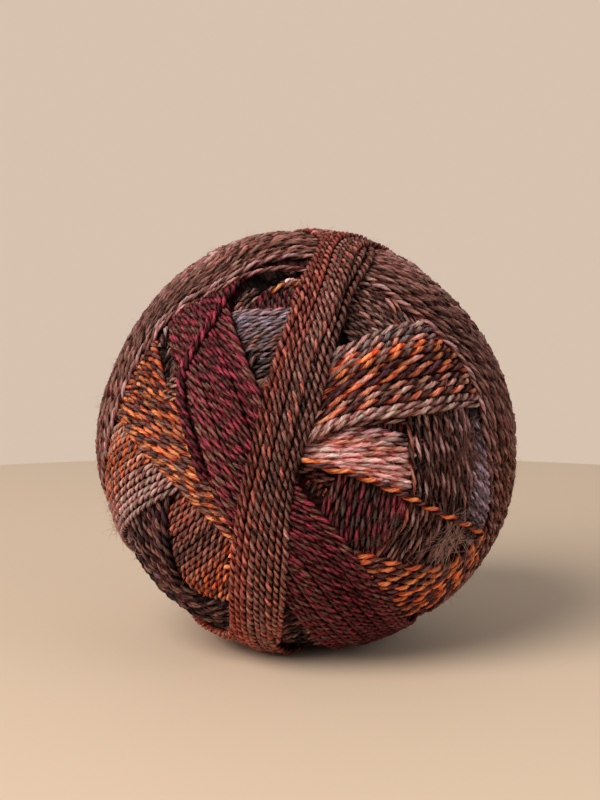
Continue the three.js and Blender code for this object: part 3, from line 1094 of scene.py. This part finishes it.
# fuzz: loose fibres that stand out from the strands, and tufts that lie over them
fuzz = {
    "count": 5400,
    "length": (0.7, 2.4),
    "lean": (0.3, 1.6),   # how far they point outwards
    "stray": 0.6,         # how far they point sideways
    "thickness": 0.05,
    "strength": 1.35,     # of a fibre's colour against that of its strand
    "around": 1.2,        # how far round the strand they grow, in radians
    "root": 0.6,          # how far out in the strand they begin, as a share of its half width
    "bend": 0.45,
    "rings": 3,
    "clearance": 0.3,     # over the floor
}
tufts = {
    "length": (0.5, 1.2),  # against the length given for each
    "lean": (0.05, 0.3),
    "stray": 0.2,
    "thickness": 0.09,
    "places": [            # longitude, latitude, spread in degrees, count, length, colour
        (47, -21, 6, 130, 6.0, "stone"),
        (40, -24, 6, 80, 5.0, "taupe"),
        (57, -10, 3.5, 40, 5.0, "lilac"),
        (51, 6, 3.5, 60, 5.0, "taupe"),
        (44, 0, 9, 160, 6.0, "brown"),
        (24, -16, 8, 100, 4.0, "brown"),
        (-70, -20, 7, 220, 3.0, "mauve"),
    ],
}


def addFibres(piece, start, heading, bend, length, thickness, colours):
    # thin three-sided fibres, each from its root to a point
    tip = start + length[:, None] * (heading + bend)
    above = tip[:, 2] > ballForm["foot"] - ballForm["radius"] + fuzz["clearance"]
    start, heading, bend, length, colours, tip = (
        v[above] for v in (start, heading, bend, length, colours, tip))
    n, m = len(start), fuzz["rings"]
    t = np.arange(m) / m
    line = start[:, None] + length[:, None, None] * (
        t[:, None] * heading[:, None] + (t**2)[:, None] * bend[:, None])
    side = unit(np.cross(heading, bend + 1e-3))
    over = np.cross(heading, side)
    thick = thickness / 2 * (1 - 0.5 * t)
    rings = np.stack([
        line + thick[None, :, None] * (math.cos(a) * side[:, None] + math.sin(a) * over[:, None])
        for a in (0, 2 * math.pi / 3, 4 * math.pi / 3)
    ], axis=2)
    points = np.concatenate([rings.reshape(n, m * 3, 3), tip[:, None]], axis=1)
    size = m * 3 + 1
    base = np.arange(n)[:, None, None] * size
    quads = np.array([
        (i * 3 + (k + 1) % 3, (i + 1) * 3 + (k + 1) % 3, (i + 1) * 3 + k, i * 3 + k)
        for i in range(m - 1) for k in range(3)
    ])
    last = (m - 1) * 3
    ends = np.array([(last + (k + 1) % 3, size - 1, last + k) for k in range(3)] + [(0, 1, 2)])
    sheets = []
    for shape in (quads, ends):
        faces = (base + shape[None]).reshape(-1, shape.shape[1])
        each = len(shape) * shape.shape[1]
        sheets.append((faces, np.repeat(colours, each, axis=0), np.full((n * each, 2), 0.25)))
    piece.add(points.reshape(-1, 3), *sheets)


def makeFuzz():
    d, r, left, first, second, weight = (np.concatenate(v) for v in zip(*shown))
    piece = Piece("fuzz")

    def grow(at, lengths, kind, colours):
        # fibres of one kind, rooted at some of the points
        n = len(at)
        up, across = d[at], left[at]
        along = np.cross(across, up)
        around = dice.uniform(-fuzz["around"], fuzz["around"], n)[:, None]
        out = up * np.cos(around) + across * np.sin(around)
        start = up * r[at][:, None] + out * (yarn["halfWidth"] * fuzz["root"])
        heading = unit(out * dice.uniform(*kind["lean"], (n, 1))
                       + along * dice.normal(0, 1, (n, 1))
                       + across * dice.normal(0, kind["stray"], (n, 1)))
        bend = fuzz["bend"] * dice.standard_normal((n, 3))
        bend -= np.minimum((bend * up).sum(1, keepdims=True) + 0.1, 0) * up  # none turns inwards
        addFibres(piece, start, heading, bend, lengths, kind["thickness"], colours)

    at = dice.choice(len(d), fuzz["count"], p=weight / weight.sum())
    own = np.where(dice.random((len(at), 1)) < 0.5, first[at], second[at])
    grow(at, dice.uniform(*fuzz["length"], len(at)), fuzz, own * fuzz["strength"])
    for longitude, latitude, spread, count, length, colour in tufts["places"]:
        near = np.exp(-((awayFrom(d, longitude, latitude) / spread) ** 2)) * (weight > 0)
        at = dice.choice(len(d), count, p=near / near.sum())
        grow(at, length * dice.uniform(*tufts["length"], len(at)), tufts,
             np.repeat(linear(colour)[None], len(at), axis=0))
    pieces["fuzz"] = piece


makeFuzz()
total = 0
for name, piece in pieces.items():
    total += piece.triangles()
    made = piece.build(woolWithPaintedLight)
    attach(made, "root")
    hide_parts("ball")
    print(f"{name}: {piece.triangles()} triangles")
print(f"{total} triangles of yarn")

# the loose end, which lies on the ball
looseEnd = {
    "route": [  # longitude, latitude and distance from the ball's middle
        (-1.6, 4.1, 47.6), (1, 3.5, 48.6), (3.6, 2.8, 49.1), (7.2, 1.8, 48.7),
        (10.9, 0.7, 48.5), (14, -0.4, 48.5), (16.8, -1.5, 48.5),
        (19.7, -2.8, 48.5), (22.7, -4.3, 48.5), (25.8, -5.8, 48.6), (29.1, -7.4, 48.8),
        (32.5, -9.1, 48.9), (36, -10.7, 48.9), (39.7, -12.4, 48.9), (43.6, -14.1, 49),
        (47.7, -15.8, 49.1), (51.8, -17.4, 49.2), (56, -19.2, 49.3), (60, -21, 49.4),
    ],
    "shades": [(0, "amber", "plum"), (1, "orange", "cocoa")],
    "girth": 1.08,
    "turn": 5.6,
    "step": 0.5,  # between the rings of its mesh
}


def makeLooseEnd():
    rows = looseEnd["route"]
    d = np.array([direction(a, b) for a, b, _ in rows])
    line, reach = cubicThrough(d, np.array([r for _, _, r in rows]), False)
    points = line * reach[:, None]
    gap = np.linalg.norm(np.diff(points, axis=0), axis=1)
    along = np.concatenate([[0], np.cumsum(gap)])
    count = int(along[-1] / looseEnd["step"])
    at = np.linspace(0, along[-1], count)
    centre = np.column_stack([np.interp(at, along, points[:, k]) for k in range(3)])
    piece = Piece("looseEnd")
    plies = shadeAt(looseEnd["shades"], np.linspace(0, 1, count))
    twistStrand(piece, centre, unit(centre), plies, looseEnd["girth"], looseEnd["turn"], False)
    made = piece.build(woolWithPaintedLight)
    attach(made, "root")
    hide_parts("loose_end")
    print(f"loose end {along[-1]:.1f} mm")


makeLooseEnd()

# floor, world and lamps, in metres
studio = {
    "floorRadius": 0.27,  # behind the ball
    "floorAhead": 0.12,   # how much further it reaches in front
    "floorCorners": 128,
    "floorColour": (0.66, 0.51, 0.38),
    "wallColour": (0.68, 0.54, 0.43),
    "skyColour": (1, 0.96, 0.92),
    "ambient": 0.36,
    "lamps": {
        # place, size, power, colour
        "key": ((-0.62, -0.72, 0.82), 0.9, 19.0, (1, 0.95, 0.89)),
        "fill": ((0.7, -0.5, 0.35), 0.6, 1.4, (0.95, 0.97, 1)),
    },
}


def makeFloor():
    mesh = bpy.data.meshes.new("floor")
    count = studio["floorCorners"]
    rim = []
    for k in range(count):
        a = k * 2 * math.pi / count
        radius = studio["floorRadius"] + studio["floorAhead"] * (1 - math.sin(a)) / 2
        rim.append((radius * math.cos(a), radius * math.sin(a), 0))
    mesh.from_pydata(rim, [], [list(range(count))])
    floor = addToScene("floor", mesh)
    material, shader = newMaterial("floor", 0.6, 0.2)
    shader.inputs["Base Color"].default_value = (*studio["floorColour"], 1)
    mesh.materials.append(material)


def makeWorld():
    # the wall's colour where the camera looks, soft light everywhere else
    world = bpy.data.worlds.new("studio")
    bpy.context.scene.world = world
    world.use_nodes = True
    nodes, links = world.node_tree.nodes, world.node_tree.links
    seen = nodes["Background"]
    seen.inputs["Color"].default_value = (*studio["wallColour"], 1)
    seen.inputs["Strength"].default_value = 1
    lighting = nodes.new("ShaderNodeBackground")
    lighting.inputs["Color"].default_value = (*studio["skyColour"], 1)
    lighting.inputs["Strength"].default_value = studio["ambient"]
    ray = nodes.new("ShaderNodeLightPath")
    mix = nodes.new("ShaderNodeMixShader")
    links.new(ray.outputs["Is Camera Ray"], mix.inputs["Fac"])
    links.new(lighting.outputs["Background"], mix.inputs[1])
    links.new(seen.outputs["Background"], mix.inputs[2])
    links.new(mix.outputs["Shader"], nodes["World Output"].inputs["Surface"])


def makeLamp(name, place, size, power, colour):
    data = bpy.data.lights.new(name, "AREA")
    data.shape = "DISK"
    data.size = size
    data.energy = power
    data.color = colour
    lamp = addToScene(name, data)
    lamp.location = place
    lamp.rotation_euler = (Vector(place) - middle / 1000).to_track_quat("Z", "Y").to_euler()


makeFloor()
makeWorld()
for name, row in studio["lamps"].items():
    makeLamp(name, *row)
print("floor, world and lamps placed")
bpy.context.scene.view_settings.view_transform = "Standard"
